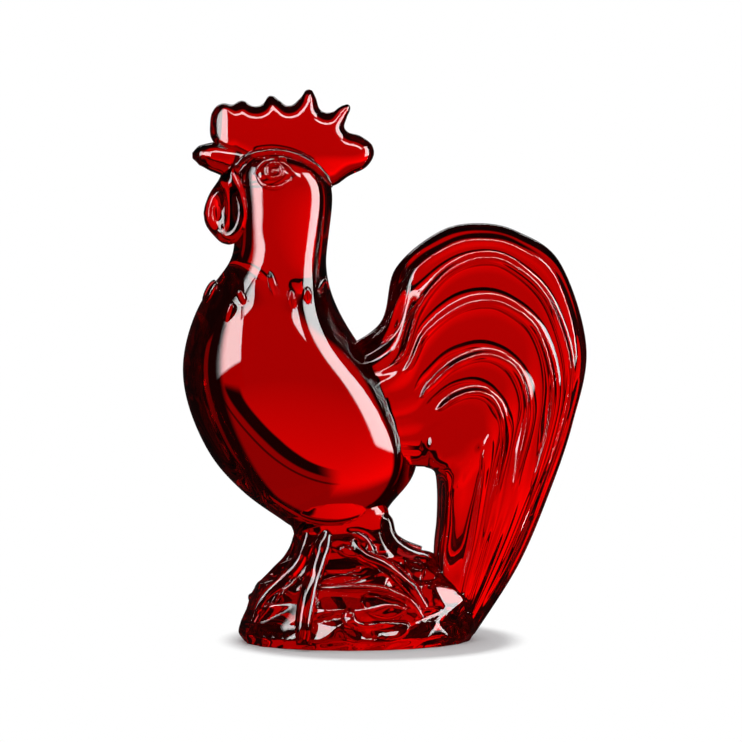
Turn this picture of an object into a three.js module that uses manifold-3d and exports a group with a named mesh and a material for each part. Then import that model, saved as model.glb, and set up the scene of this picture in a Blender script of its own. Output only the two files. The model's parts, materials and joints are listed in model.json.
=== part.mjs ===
// A crystal rooster standing on a rock, cast in clear red glass.
//
// The real figurine is one casting. Here it is divided along the creases between its sculpted
// forms, so that each form is a solid of its own with a hairline seam to its neighbours.
// Millimetres. The rooster faces -X, +Z is up, and its sides face -Y and +Y. The origin is the
// middle of the rock's flat underside, below the middle of the whole figure.

import * as THREE from "three";
import { mergeVertices } from "three/addons/utils/BufferGeometryUtils.js";
import Module from "manifold-3d";

const wasm = await Module();
wasm.setup();

// Driving dimensions

const SEAM = 0.3; // hairline gap between two neighbouring forms

const ROCK_TOP_Z = 29; // where the legs rise out of the rock
const ROCK_HALF_WIDTH = 27.4;
const ROCK_FACETS = 17; // sides of the hewn rock
const ROCK_ROUGHNESS = 1.4; // how far its corners stand in or out, up or down

const BELLY_SEAM_Z = 40; // the belly ends here and the legs begin
const NECK_SEAM_Z = 126; // the breast ends here and the neck begins
const BODY_HALF_WIDTH = 25;
const HEAD_HALF_WIDTH = 13.4;

const LEG_SPREAD = 7.6; // from the middle plane to the middle of each leg
const LEG_HALF_WIDTH = 7.2;
const TOE_RADIUS = 3; // at the ankle
const TOE_TIP_RADIUS = 1.7;

const COMB_HALF_THICKNESS = 4.6;
const COMB_EDGE = 2.6; // how far the comb's rounded edge reaches in from its outline

const BEAK_ROOT_RADIUS = 5.6;
const BEAK_TIP_RADIUS = 2;
const BEAK_HALF_WIDTH = 4.4; // at the root

const WATTLE_HALF_THICKNESS = 4.4;
const WATTLE_EDGE = 2.6;
const WATTLE_DISH_DEPTH = 1.2;

const EYE_RADIUS = 4.9;
const EYE_HEIGHT = 1.2; // how far the eye stands out of the head
const EYE_POSITION = new THREE.Vector2(-35.2, 153.4);

const TAIL_HALF_THICKNESS = 10; // in the middle of the tail
const TAIL_RIM_REACH = 13; // how far the rounding of its two rims reaches in
const TAIL_EDGE_HALF = 1.2; // half the thickness that is left at the very rim
const TAIL_ROOT_SWELL = 4.5; // how much thicker each side is where the tail leaves the rump
const QUILL_WIDTH = 2.6; // the raised quill along each feather
const QUILL_HEIGHT = 1.1;

// Shape tools

const V2 = (x, z) => new THREE.Vector2(x, z);
const V3 = (x, y, z) => new THREE.Vector3(x, y, z);

// A closed surface through rings that each hold the same number of points, from the first end
// to the last. Each end is closed by the lid's triangles, or else by a fan about its middle.
function loft(rings, lid) {
  const count = rings[0].length;
  const corners = rings.flat();
  const top = corners.length - count;
  const faces = [];
  for (let k = 0; k < count; k++) {
    const next = (k + 1) % count;
    for (let r = 0; r < rings.length - 1; r++) {
      const a = r * count + k;
      const b = r * count + next;
      faces.push(a, b, b + count, a, b + count, a + count);
    }
  }
  const middle = (ring) => ring.reduce((sum, p) => sum.add(p), V3(0, 0, 0)).divideScalar(count);
  if (lid) {
    for (const [a, b, c] of lid) faces.push(c, b, a, top + a, top + b, top + c);
  } else {
    const first = corners.push(middle(rings[0])) - 1;
    const last = corners.push(middle(rings.at(-1))) - 1;
    for (let k = 0; k < count; k++) {
      const next = (k + 1) % count;
      faces.push(first, next, k, last, top + k, top + next);
    }
  }
  const geometry = new THREE.BufferGeometry().setFromPoints(corners);
  geometry.setIndex(faces);
  return geometry;
}

// The geometry as a solid that can be cut and joined. One whose faces point in is turned out.
function solid(geometry) {
  const bare = geometry.clone();
  for (const name of Object.keys(bare.attributes)) {
    if (name !== "position") bare.deleteAttribute(name);
  }
  const merged = mergeVertices(bare, 1e-3);
  const triVerts = new Uint32Array(merged.index.array);
  const made = (order) =>
    new wasm.Manifold(
      new wasm.Mesh({
        numProp: 3,
        vertProperties: merged.attributes.position.array,
        triVerts: order,
      }),
    );
  const body = made(triVerts);
  return body.volume() > 0 ? body : made(triVerts.reverse());
}

// What is left of a form once its neighbours are cut out of it: its largest piece.
function cutBy(form, ...neighbours) {
  const left = neighbours.reduce((body, neighbour) => body.subtract(neighbour), form);
  return left.decompose().reduce((big, body) => (body.volume() > big.volume() ? body : big));
}

function geometryOf(body) {
  const { vertProperties, triVerts } = body.getMesh();
  const geometry = new THREE.BufferGeometry();
  geometry.setAttribute("position", new THREE.BufferAttribute(vertProperties, 3));
  geometry.setIndex(new THREE.BufferAttribute(triVerts, 1));
  geometry.computeVertexNormals();
  return geometry;
}

// A smooth run through stations, each a row of numbers: at(u) gives the row at u from 0 to 1.
function smoothRows(rows) {
  const column = (k) => new THREE.SplineCurve(rows.map((row, i) => V2(i, row[k])));
  const columns = rows[0].map((_, k) => column(k));
  return (u) => columns.map((curve) => curve.getPoint(u).y);
}

// A limb of round or oval section along a path, with a radius for each point of the path.
function limb(path, radii, flatness, sides, steps) {
  const curve = new THREE.CatmullRomCurve3(path);
  const radius = smoothRows(radii.map((r) => [r]));
  const rings = [];
  for (let i = 0; i <= steps; i++) {
    const u = i / steps;
    const centre = curve.getPoint(u);
    const along = curve.getTangent(u);
    const up = V3(0, 1, 0).cross(along).normalize();
    const side = along.clone().cross(up).normalize();
    const [r] = radius(u);
    rings.push(
      Array.from({ length: sides }, (_, k) => {
        const turn = (k / sides) * 2 * Math.PI;
        return centre
          .clone()
          .addScaledVector(up, r * Math.cos(turn))
          .addScaledVector(side, r * flatness * Math.sin(turn));
      }),
    );
  }
  return solid(loft(rings));
}

// A pillow: a flat outline in the XZ plane, full thickness inside and rounded at its edge. At a
// corner sharper than the rounding, the edge reaches in no further than the corner's own radius.
function pillow(points, halfThickness, edge) {
  const outline = THREE.ShapeUtils.isClockWise(points) ? points.toReversed() : points;
  const count = outline.length;
  const inward = outline.map((p, k) => {
    const before = p.clone().sub(outline[(k + count - 1) % count]);
    const after = outline[(k + 1) % count].clone().sub(p);
    const along = before.clone().add(after).normalize();
    const turn = Math.asin(before.clone().normalize().cross(after.clone().normalize()));
    const radius = turn > 0 ? (before.length() + after.length()) / 2 / turn : Infinity;
    return V2(-along.y, along.x).multiplyScalar(Math.min(edge, 0.75 * radius));
  });
  const round = Math.min(edge, halfThickness);
  const levels = [0, 45, 90].map((degrees) => {
    const angle = (degrees * Math.PI) / 180;
    return [1 - Math.sin(angle), halfThickness - round * (1 - Math.cos(angle))];
  });
  const ring = ([inset, y]) =>
    outline.map((p, k) => {
      const q = p.clone().addScaledVector(inward[k], inset);
      return V3(q.x, y, q.y);
    });
  const front = levels.map(ring);
  const back = levels.toReversed().map(([inset, y]) => ring([inset, -y]));
  return solid(loft([...front, ...back], THREE.ShapeUtils.triangulateShape(outline, [])));
}

// The part of a form on one side of the middle plane, where a pair leaves a seam.
function halfOf(form, side) {
  const reach = 100;
  const slab = new THREE.BoxGeometry(400, reach, 400);
  slab.translate(0, side * (reach / 2 + SEAM / 2), 100);
  return cutBy(form.intersect(solid(slab)));
}

// Trunk: legs' top, belly, breast, neck and head as one run of level ovals.
// Each station: height, front, back, half width as a share of the body's or the head's.

const BELLY_TO_NECK = [
  [BELLY_SEAM_Z, -33.5, 0.5, 0.6],
  [43.6, -39.6, 1.2, 0.66],
  [47.5, -45, 4.8, 0.74],
  [51.5, -49.4, 9, 0.82],
  [56, -53.8, 11.4, 0.89],
  [61, -57.6, 11, 0.94],
  [68, -61.4, 8, 0.98],
  [77, -65, 3.6, 1],
  [87, -67, -2, 1],
  [96, -66.2, -8.2, 0.94],
  [105, -63.6, -14.2, 0.83],
  [113, -61.2, -17.4, 0.71],
  [120, -57.6, -19, 0.6],
  [NECK_SEAM_Z, -52.4, -19.6, 0.54],
];

const NECK_TO_CROWN = [
  [NECK_SEAM_Z + SEAM, -52.2, -19.6, 1],
  [131, -47.2, -18.6, 0.98],
  [137.5, -44.2, -17, 0.99],
  [144, -43.8, -16.4, 1],
  [150, -46, -17, 0.96],
  [155, -48.2, -20.4, 0.82],
  [158.6, -46.6, -25.4, 0.58],
  [160.4, -41, -31, 0.24],
];

// Level ovals through the stations. grow widens every oval, for cutting a neighbour.
function trunk(stations, halfWidth, levels, sides, grow = 0) {
  const at = smoothRows(stations);
  const rings = [];
  for (let i = 0; i <= levels; i++) {
    const [z, front, back, share] = at(i / levels);
    const middle = (front + back) / 2;
    const deep = (back - front) / 2 + grow;
    const wide = halfWidth * share + grow;
    const end = i === 0 ? -grow : i === levels ? grow : 0;
    rings.push(
      Array.from({ length: sides }, (_, k) => {
        const turn = (k / sides) * 2 * Math.PI;
        return V3(middle + deep * Math.cos(turn), wide * Math.sin(turn), z + end);
      }),
    );
  }
  return solid(loft(rings));
}

const bodyForm = (grow) => trunk(BELLY_TO_NECK, BODY_HALF_WIDTH, 18, 30, grow);
const headForm = (grow) => trunk(NECK_TO_CROWN, HEAD_HALF_WIDTH, 11, 22, grow);

// Hackle: the tips of the neck feathers, pressed into the breast as raised drops.
// Each tip: turn round the neck in degrees from the front, height of its middle, length, lean.

const HACKLE_TIPS = [
  [16, 113, 10, 2],
  [42, 109, 10, 0],
  [62, 107, 11, -1],
  [92, 114, 12, -3],
  [114, 109, 9, -2],
  [138, 106, 11, -4],
];
const HACKLE_HALF_WIDTH = 1.7;
const HACKLE_HEIGHT = 0.9;

function hackleTip(turn, z, length, lean, side) {
  const at = smoothRows(BELLY_TO_NECK);
  const levels = Array.from({ length: 500 }, (_, k) => at(k / 499));
  const [, front, back, share] = levels.find((level) => level[0] >= z);
  const angle = (side * (180 - turn) * Math.PI) / 180;
  const deep = (back - front) / 2;
  const wide = BODY_HALF_WIDTH * share;
  const foot = V3((front + back) / 2 + deep * Math.cos(angle), wide * Math.sin(angle), z);
  const out = V3(Math.cos(angle) / deep, Math.sin(angle) / wide, 0).normalize();
  const drop = new THREE.SphereGeometry(1, 8, 6);
  drop.scale(HACKLE_HEIGHT * 2, HACKLE_HALF_WIDTH, length / 2);
  drop.rotateX((lean * Math.PI) / 180);
  drop.rotateY((-18 * Math.PI) / 180);
  drop.rotateZ(Math.atan2(out.y, out.x));
  drop.translate(foot.x - out.x * 0.8, foot.y - out.y * 0.8, foot.z);
  return solid(drop);
}

function body() {
  const tips = HACKLE_TIPS.flatMap((tip) => [hackleTip(...tip, 1), hackleTip(...tip, -1)]);
  return tips.reduce((joined, tip) => joined.add(tip), bodyForm(0));
}

// Comb: a toothed blade that rides on the crown, with a lobe behind.

const COMB_OUTLINE = new THREE.SplineCurve([
  V2(-48, 158.6),
  V2(-56, 163.2),
  V2(-56.8, 169.6),
  V2(-55.6, 174.6),
  V2(-50, 175),
  V2(-46.4, 176.6),
  V2(-43.6, 174.6),
  V2(-40.2, 175),
  V2(-37.2, 178.3),
  V2(-31.6, 175.4),
  V2(-27.4, 177.4),
  V2(-24.4, 180.2),
  V2(-21.8, 175.2),
  V2(-18.4, 173),
  V2(-11.8, 175.4),
  V2(-13.4, 170.4),
  V2(-12.4, 167),
  V2(-7.4, 164.4),
  V2(-3.4, 160),
  V2(-6, 155),
  V2(-15, 150.8),
  V2(-24, 153.4),
  V2(-36, 155.4),
]);
const COMB_POINTS = 61;

function comb() {
  const blade = pillow(COMB_OUTLINE.getPoints(COMB_POINTS), COMB_HALF_THICKNESS, COMB_EDGE);
  return cutBy(blade, headForm(SEAM));
}

// Beak: a blunt hook in front of the crown, under the comb.

const BEAK_PATH = [V3(-44, 0, 157), V3(-51, 0, 158.6), V3(-56.5, 0, 159.4), V3(-60.8, 0, 158.8)];

function beakForm(grow) {
  const radii = [BEAK_ROOT_RADIUS, BEAK_ROOT_RADIUS * 0.86, 3.7, BEAK_TIP_RADIUS];
  const flatness = BEAK_HALF_WIDTH / BEAK_ROOT_RADIUS;
  const grown = radii.map((r) => r + grow);
  return limb(BEAK_PATH, grown, flatness, 14, 8);
}

// Wattles: two drops that hang side by side under the beak, each dished on its outer face.

const WATTLE_OUTLINE = new THREE.SplineCurve([
  V2(-51, 155),
  V2(-55, 151),
  V2(-58.2, 144),
  V2(-58.6, 138),
  V2(-55.6, 132.8),
  V2(-50.8, 129.6),
  V2(-46, 134),
  V2(-43.6, 141),
  V2(-45.4, 149),
]);
const WATTLE_DISH_CENTRE = V2(-53.2, 140.6);
const WATTLE_DISH_HALF_SIZE = V2(3.6, 6.6);

function wattle(side) {
  const drop = pillow(WATTLE_OUTLINE.getPoints(27), WATTLE_HALF_THICKNESS, WATTLE_EDGE);
  const dish = new THREE.SphereGeometry(1, 16, 10);
  const dishReach = 2;
  dish.scale(WATTLE_DISH_HALF_SIZE.x, dishReach, WATTLE_DISH_HALF_SIZE.y);
  dish.translate(
    WATTLE_DISH_CENTRE.x,
    side * (WATTLE_HALF_THICKNESS - WATTLE_DISH_DEPTH + dishReach),
    WATTLE_DISH_CENTRE.y,
  );
  const dished = drop.subtract(solid(dish));
  return cutBy(
    halfOf(dished, side),
    headForm(SEAM),
    bodyForm(SEAM),
    beakForm(SEAM),
    combFoot(),
  );
}

// The comb's own outline, a seam wider, for cutting what hangs under its front.
function combFoot() {
  const outline = COMB_OUTLINE.getPoints(COMB_POINTS);
  return pillow(outline, COMB_HALF_THICKNESS + SEAM, COMB_EDGE - SEAM);
}

function beak() {
  return cutBy(beakForm(0), headForm(SEAM), combFoot());
}

// Eyes: a round ball inside an almond lid, raised on each side of the head.

function eye(side) {
  const profile = [
    V2(0, -2.6),
    V2(EYE_RADIUS, -2.6),
    V2(EYE_RADIUS, EYE_HEIGHT * 0.35),
    V2(EYE_RADIUS * 0.9, EYE_HEIGHT * 0.8),
    V2(EYE_RADIUS * 0.76, EYE_HEIGHT * 0.8),
    V2(EYE_RADIUS * 0.66, EYE_HEIGHT * 0.55),
    V2(EYE_RADIUS * 0.5, EYE_HEIGHT * 0.75),
    V2(EYE_RADIUS * 0.28, EYE_HEIGHT * 0.98),
    V2(0, EYE_HEIGHT * 1.05),
  ];
  const button = new THREE.LatheGeometry(profile, 16);
  button.scale(1.14, 1, 0.86);
  const surface = HEAD_HALF_WIDTH * 0.85;
  const tilt = 0.42; // the head leans in towards the crown there
  if (side < 0) button.rotateX(Math.PI);
  button.rotateX(side * tilt);
  button.translate(EYE_POSITION.x, side * surface, EYE_POSITION.y);
  return cutBy(solid(button), headForm(SEAM));
}

// Tail: seven nested feathers. Each quill is a curve in the XZ plane from the rump, over the
// top and down to the rock, and each feather fills the space between two of them.

const QUILLS = [
  [
    [-6, 94],
    [-1.6, 104],
    [3.6, 122],
    [17.8, 133.9],
    [30.9, 136.7],
    [44, 133.9],
    [58, 123.6],
    [66.8, 96],
    [62.4, 71],
    [54.5, 47.5],
    [44.3, 23.9],
    [30, 1.6],
  ],
  [
    [-6, 90],
    [2.2, 101],
    [9.4, 121],
    [20.6, 129.6],
    [32, 131.8],
    [43, 129.8],
    [55.8, 119.6],
    [64.2, 95],
    [60, 71],
    [52, 47.5],
    [41.8, 23.9],
    [28.6, 1.6],
  ],
  [
    [-6, 86],
    [2.6, 92],
    [10, 110],
    [20.5, 121.6],
    [32, 125.6],
    [42, 122.6],
    [53, 111.6],
    [60.2, 90],
    [57.2, 69],
    [49, 46],
    [39, 23],
    [27.2, 1.6],
  ],
  [
    [-6, 82],
    [3.6, 88],
    [12, 101],
    [22.8, 109.3],
    [32.6, 111.7],
    [41, 109.2],
    [49.4, 101.4],
    [54.2, 84],
    [52, 66],
    [44.6, 43.6],
    [35.6, 22],
    [25.8, 1.6],
  ],
  [
    [-6, 75],
    [5.2, 77.4],
    [13.6, 84.4],
    [21.7, 91.2],
    [31, 94.3],
    [38.6, 92.2],
    [43.6, 86.4],
    [45.6, 75],
    [42.6, 59.4],
    [38, 40],
    [31.6, 21],
    [24.4, 1.6],
  ],
  [
    [-6, 70],
    [6.6, 71.4],
    [14.4, 75.6],
    [20.8, 80.2],
    [27, 82.3],
    [32.4, 81.2],
    [36.2, 76.6],
    [37.8, 68],
    [36, 54],
    [32.6, 37],
    [28, 20],
    [23, 1.6],
  ],
  [
    [-6, 64],
    [8, 63.6],
    [14.6, 65.2],
    [20, 67.6],
    [24.6, 68.6],
    [28, 67.4],
    [30.2, 63.6],
    [30.6, 57],
    [29.2, 45.6],
    [27.2, 32],
    [24, 17.6],
    [21.6, 1.6],
  ],
  [
    [-6, 58],
    [10.6, 57.2],
    [13.4, 56.8],
    [15.6, 56],
    [17, 54.6],
    [17.7, 52.4],
    [18, 48.8],
    [18, 44.4],
    [17.6, 38],
    [16.6, 29],
    [17, 16],
    [19.4, 1.6],
  ],
];
const FEATHER_STEPS = 20;

const quillCurve = (k) => new THREE.SplineCurve(QUILLS[k].map(([x, z]) => V2(x, z)));
const RIM_POINTS = [0, QUILLS.length - 1].flatMap((k) => quillCurve(k).getPoints(60));

// Half the tail's thickness at a point: rounded off at both rims, and swelling at the rump.
function tailHalf(point) {
  const distance = Math.min(...RIM_POINTS.map((rim) => rim.distanceTo(point)));
  const share = Math.min(distance / TAIL_RIM_REACH, 1);
  const swell = TAIL_ROOT_SWELL * Math.exp(-((point.x / 13) ** 2));
  const taper = 0.045 * Math.max(point.y - 50, 0);
  const half = (TAIL_HALF_THICKNESS + swell - taper) * Math.sqrt(share * (2 - share));
  return Math.max(half, TAIL_EDGE_HALF);
}

// Across a feather from its outer quill to its inner one: share of the width, and how far the
// surface stands above the tail's own thickness. The first feather has no quill. The others
// stand up in one along their outer side.
function featherSection(width, isRim) {
  const quill = Math.min(QUILL_WIDTH / width, 0.5);
  const slope = Math.min(quill + 0.8 / width, 0.7);
  return isRim
    ? [
        [0, 0],
        [0.15, 0],
        [0.4, 0],
        [0.7, 0],
        [1, 0],
      ]
    : [
        [0, QUILL_HEIGHT * 0.8],
        [quill * 0.3, QUILL_HEIGHT],
        [quill, QUILL_HEIGHT],
        [slope, 0],
        [1, 0],
      ];
}

function tailFeather(index) {
  const outer = quillCurve(index);
  const inner = quillCurve(index + 1);
  const rings = [];
  for (let i = 0; i <= FEATHER_STEPS; i++) {
    const start = outer.getPoint(i / FEATHER_STEPS);
    const end = inner.getPoint(i / FEATHER_STEPS);
    const across = end.clone().sub(start);
    const gap = across.clone().normalize().multiplyScalar(SEAM);
    const width = across.length();
    across.sub(gap);
    const section = featherSection(width, index === 0).map(([share, rise]) => {
      const place = start.clone().addScaledVector(across, share);
      return [place, tailHalf(place) + rise];
    });
    rings.push([
      ...section.map(([place, half]) => V3(place.x, half, place.y)),
      ...section.toReversed().map(([place, half]) => V3(place.x, -half, place.y)),
    ]);
  }
  return cutBy(solid(loft(rings)), bodyForm(SEAM), rockForm(SEAM));
}

// Rock: a hewn base with a flat underside. Each level: height, front, back, half width as a
// share. Its corners stand in and out by a fixed wave, so that its sides are rough facets.

const ROCK_LEVELS = [
  [0, -45.2, 27.4, 0.92],
  [3.2, -48.4, 30.6, 1],
  [7.5, -46.2, 29, 0.94],
  [13.5, -45, 29, 0.94],
  [18.5, -40.4, 27, 0.78],
  [24, -34, 22, 0.64],
  [ROCK_TOP_Z, -28, 15, 0.45],
];

function rockForm(grow) {
  const rings = ROCK_LEVELS.map(([z, front, back, share], level) => {
    const middle = (front + back) / 2;
    const isHewn = level > 1 && level < ROCK_LEVELS.length - 1;
    const rough = isHewn ? ROCK_ROUGHNESS : 0;
    const end = level === 0 ? -grow : level === ROCK_LEVELS.length - 1 ? grow : 0;
    return Array.from({ length: ROCK_FACETS }, (_, k) => {
      const turn = ((k + 0.5 * (level % 2)) / ROCK_FACETS) * 2 * Math.PI;
      const reach = grow + rough * Math.sin(2.4 * k + 1.7 * level);
      const x = middle + ((back - front) / 2 + reach) * Math.cos(turn);
      const y = (ROCK_HALF_WIDTH * share + reach) * Math.sin(turn);
      return V3(x, y, z + end + rough * Math.sin(1.9 * k + 2.9 * level));
    });
  });
  return solid(loft(rings));
}

// Legs: two stout columns from the belly into the rock, side by side.
// Each station: height, front, back, half width as a share.

const LEG_STATIONS = [
  [ROCK_TOP_Z - 12, -36, 10, 1.3],
  [ROCK_TOP_Z - 4, -31.6, 7.4, 1.12],
  [33, -29, 3.4, 1],
  [36.5, -29.6, 1.6, 1],
  [BELLY_SEAM_Z - SEAM, -33.2, 0.4, 1.04],
];

function legForm(side, grow) {
  const at = smoothRows(LEG_STATIONS);
  const steps = 8;
  const rings = [];
  for (let i = 0; i <= steps; i++) {
    const [z, front, back, share] = at(i / steps);
    const end = i === 0 ? -grow : 0;
    rings.push(
      Array.from({ length: 20 }, (_, k) => {
        const turn = (k / 20) * 2 * Math.PI;
        const x = (front + back) / 2 + ((back - front) / 2 + grow) * Math.cos(turn);
        const y = side * LEG_SPREAD + (LEG_HALF_WIDTH * share + grow) * Math.sin(turn);
        return V3(x, y, z + end);
      }),
    );
  }
  return solid(loft(rings));
}

const leg = (side) => halfOf(cutBy(legForm(side, 0), rockForm(SEAM)), side);

// Toes: four to a foot, spread over the rock from the ankle. Each path is for the right foot,
// and its points' distances from the middle plane are shares of the rock's half width.

const TOES = {
  front: [V3(-20, 0.33, 29), V3(-27.5, 0.46, 24.8), V3(-34, 0.56, 18.4), V3(-40, 0.62, 11)],
  middle: [V3(-20, 0.37, 30), V3(-21, 0.66, 24.6), V3(-21.6, 0.86, 15.6), V3(-22, 0.97, 5)],
  outer: [V3(-14, 0.37, 29), V3(-4, 0.55, 25.4), V3(8, 0.68, 20.8), V3(17, 0.74, 12.6)],
  rear: [V3(-10, 0.3, 31), V3(0, 0.35, 29), V3(9, 0.38, 27), V3(17, 0.44, 21.4)],
};

function toeForm(name, side, grow) {
  const path = TOES[name].map((p) => V3(p.x, side * p.y * ROCK_HALF_WIDTH, p.z));
  const radii = [TOE_RADIUS, TOE_RADIUS, (TOE_RADIUS + TOE_TIP_RADIUS) / 2, TOE_TIP_RADIUS];
  const grown = radii.map((r) => r + grow);
  return limb(path, grown, 1, 8, 8);
}

function toe(name, side) {
  const names = Object.keys(TOES);
  const earlier = names.slice(0, names.indexOf(name)).map((other) => toeForm(other, side, SEAM));
  const feathers = [5, 6].map(tailGuard);
  return cutBy(toeForm(name, side, 0), rockForm(SEAM), legForm(side, SEAM), ...earlier, ...feathers);
}

// A slab over one feather, a seam thicker than it, that a toe stops against.
function tailGuard(index) {
  const edges = [index, index + 1].map((k) => quillCurve(k).getPoints(40));
  const outline = [...edges[0], ...edges[1].reverse()];
  return pillow(outline, TAIL_HALF_THICKNESS + QUILL_HEIGHT + SEAM, 0.01);
}

// The figure

const crystal = new THREE.MeshStandardMaterial({
  color: 0xb00010,
  roughness: 0.03,
  metalness: 0,
});

function node(name, form) {
  const mesh = new THREE.Mesh(geometryOf(form), crystal.clone());
  mesh.name = name;
  return mesh;
}

const rooster = new THREE.Group();
rooster.add(
  node("rock_base", rockForm(0)),
  node("body", body()),
  node("neck_and_head", headForm(0)),
  node("comb", comb()),
  node("beak", beak()),
);
for (const [side, word] of [
  [-1, "left"],
  [1, "right"],
]) {
  rooster.add(
    node(`wattle_${word}`, wattle(side)),
    node(`eye_${word}`, eye(side)),
    node(`leg_${word}`, leg(side)),
  );
  for (const name of Object.keys(TOES)) {
    rooster.add(node(`toe_${word}_${name}`, toe(name, side)));
  }
}
for (let index = 0; index < QUILLS.length - 1; index++) {
  rooster.add(node(`tail_feather_${index + 1}`, tailFeather(index)));
}

// The origin goes below the middle of the whole figure.
const middle = new THREE.Box3().setFromObject(rooster).getCenter(V3(0, 0, 0));
for (const mesh of rooster.children) mesh.geometry.translate(-middle.x, 0, 0);

export default rooster;
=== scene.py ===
"""A crystal rooster on a rock, cast in clear red glass, and the studio that it stands in.

Run as a script. Each operator models one form of the casting, and the casting operator fuses
the forms into one closed body of glass. Sizes of the casting are in millimetres until they go
into a mesh, and sizes of the studio are in metres. The rooster faces -X, and its left side -Y.
"""

import json
import math

import bpy
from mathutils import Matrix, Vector
from mathutils.kdtree import KDTree

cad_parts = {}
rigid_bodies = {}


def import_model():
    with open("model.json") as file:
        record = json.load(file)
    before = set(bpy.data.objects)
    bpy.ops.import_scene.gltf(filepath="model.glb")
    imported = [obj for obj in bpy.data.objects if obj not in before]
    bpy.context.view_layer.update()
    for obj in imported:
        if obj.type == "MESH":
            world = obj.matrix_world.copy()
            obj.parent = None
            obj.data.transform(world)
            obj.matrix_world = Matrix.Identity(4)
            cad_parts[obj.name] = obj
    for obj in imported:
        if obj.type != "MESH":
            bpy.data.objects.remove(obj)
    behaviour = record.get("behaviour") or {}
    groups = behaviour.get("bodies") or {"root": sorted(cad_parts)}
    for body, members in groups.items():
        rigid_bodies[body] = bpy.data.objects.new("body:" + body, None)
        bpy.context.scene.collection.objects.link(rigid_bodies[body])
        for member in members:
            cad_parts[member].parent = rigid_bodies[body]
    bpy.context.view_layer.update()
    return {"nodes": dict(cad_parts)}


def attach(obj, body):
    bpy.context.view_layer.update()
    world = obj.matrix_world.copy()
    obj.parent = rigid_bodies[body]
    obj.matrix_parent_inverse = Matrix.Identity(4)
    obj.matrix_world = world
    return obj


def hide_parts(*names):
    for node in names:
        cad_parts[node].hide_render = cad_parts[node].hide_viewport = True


bl_info = {
    "name": "Crystal Rooster",
    "version": (1, 0, 0),
    "blender": (4, 5, 0),
    "location": "View3D > Sidebar > Rooster",
    "description": "Models a rooster of clear red crystal on a hewn rock",
    "category": "Add Mesh",
}

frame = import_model()
MM = 0.001
CASTING = "crystal_rooster"

# The half widths that the stations of the trunk are drawn for
BODY_HALF_WIDTH = 25
HEAD_HALF_WIDTH = 13.4


# Measures of the casting


class RoosterSizes(bpy.types.PropertyGroup):
    """Sizes of the rooster's forms."""

    body_half_width: bpy.props.FloatProperty(
        name="Body half width",
        description="Half the body's width at its widest",
        default=BODY_HALF_WIDTH * MM,
        unit="LENGTH",
    )
    head_half_width: bpy.props.FloatProperty(
        name="Head half width",
        description="Half the width of the head",
        default=HEAD_HALF_WIDTH * MM,
        unit="LENGTH",
    )
    comb_half_thickness: bpy.props.FloatProperty(
        name="Comb half thickness",
        description="Half the comb's thickness where it leaves the crown",
        default=7.2 * MM,
        unit="LENGTH",
    )
    tail_half_thickness: bpy.props.FloatProperty(
        name="Tail half thickness",
        description="Half the tail's thickness that its slopes and swellings are added to",
        default=10 * MM,
        unit="LENGTH",
    )
    quill_height: bpy.props.FloatProperty(
        name="Quill height",
        description="How far a quill stands out of the tail",
        default=1.15 * MM,
        unit="LENGTH",
    )
    voxel: bpy.props.FloatProperty(
        name="Voxel",
        description="Size of the cells of the rock's skin",
        default=0.7 * MM,
        unit="LENGTH",
    )
    polish: bpy.props.IntProperty(
        name="Polish",
        description="Rounds of smoothing that round the rock's hewn edges",
        default=4,
        min=1,
    )


class CrystalLook(bpy.types.PropertyGroup):
    """Finish of the crystal."""

    tint: bpy.props.FloatVectorProperty(
        name="Tint",
        description="Colour that the crystal lets through",
        subtype="COLOR",
        size=3,
        default=(0.995, 0.03, 0.06),
    )
    density: bpy.props.FloatProperty(
        name="Density",
        description="How strongly the crystal takes colour with depth, per metre",
        default=1000.0,
    )
    ior: bpy.props.FloatProperty(
        name="Refraction",
        description="Index of refraction of lead crystal",
        default=1.545,
    )
    roughness: bpy.props.FloatProperty(
        name="Roughness",
        description="Roughness of the fire-polished surface",
        default=0.012,
    )
    ripple: bpy.props.FloatProperty(
        name="Ripple",
        description="Strength of the faint waves that fire polishing leaves",
        default=0.05,
    )


class StudioLook(bpy.types.PropertyGroup):
    """Light, floor and background."""

    floor_colour: bpy.props.FloatVectorProperty(
        name="Floor colour",
        description="Colour of the studio floor",
        subtype="COLOR",
        size=3,
        default=(0.9, 0.9, 0.91),
    )
    softbox: bpy.props.FloatProperty(
        name="Softbox brightness",
        description="Brightness of the softboxes and strips where the crystal mirrors them",
        default=12.0,
    )
    softbox_through: bpy.props.FloatProperty(
        name="Softbox seen through",
        description="Brightness of the softboxes and strips seen through the crystal",
        default=0.4,
    )
    fill: bpy.props.FloatProperty(
        name="Fill",
        description="Brightness of the light that comes from all round",
        default=1.0,
    )
    wall: bpy.props.FloatProperty(
        name="Wall",
        description="Brightness of the wall that is seen through the crystal",
        default=0.72,
    )
    window: bpy.props.FloatProperty(
        name="Window",
        description="Brightness of the panel above the wall, as a share of the wall's",
        default=0.46,
    )
    wall_mirrored: bpy.props.FloatProperty(
        name="Wall, mirrored",
        description="Brightness of the wall where the crystal mirrors it from within",
        default=0.06,
    )
    dark: bpy.props.FloatProperty(
        name="Dark",
        description="Brightness of the unlit parts of the studio",
        default=0.01,
    )
    table_radius: bpy.props.FloatProperty(
        name="Table radius",
        description="Radius of the white table",
        default=0.5,
        unit="LENGTH",
    )


# Modelling tools


def mm(*values):
    """Millimetres as metres."""
    return tuple(value * MM for value in values)


def deselect():
    if bpy.context.mode != "OBJECT":
        bpy.ops.object.mode_set(mode="OBJECT")
    bpy.ops.object.select_all(action="DESELECT")


def make_active(piece):
    deselect()
    piece.select_set(True)
    bpy.context.view_layer.objects.active = piece


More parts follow.
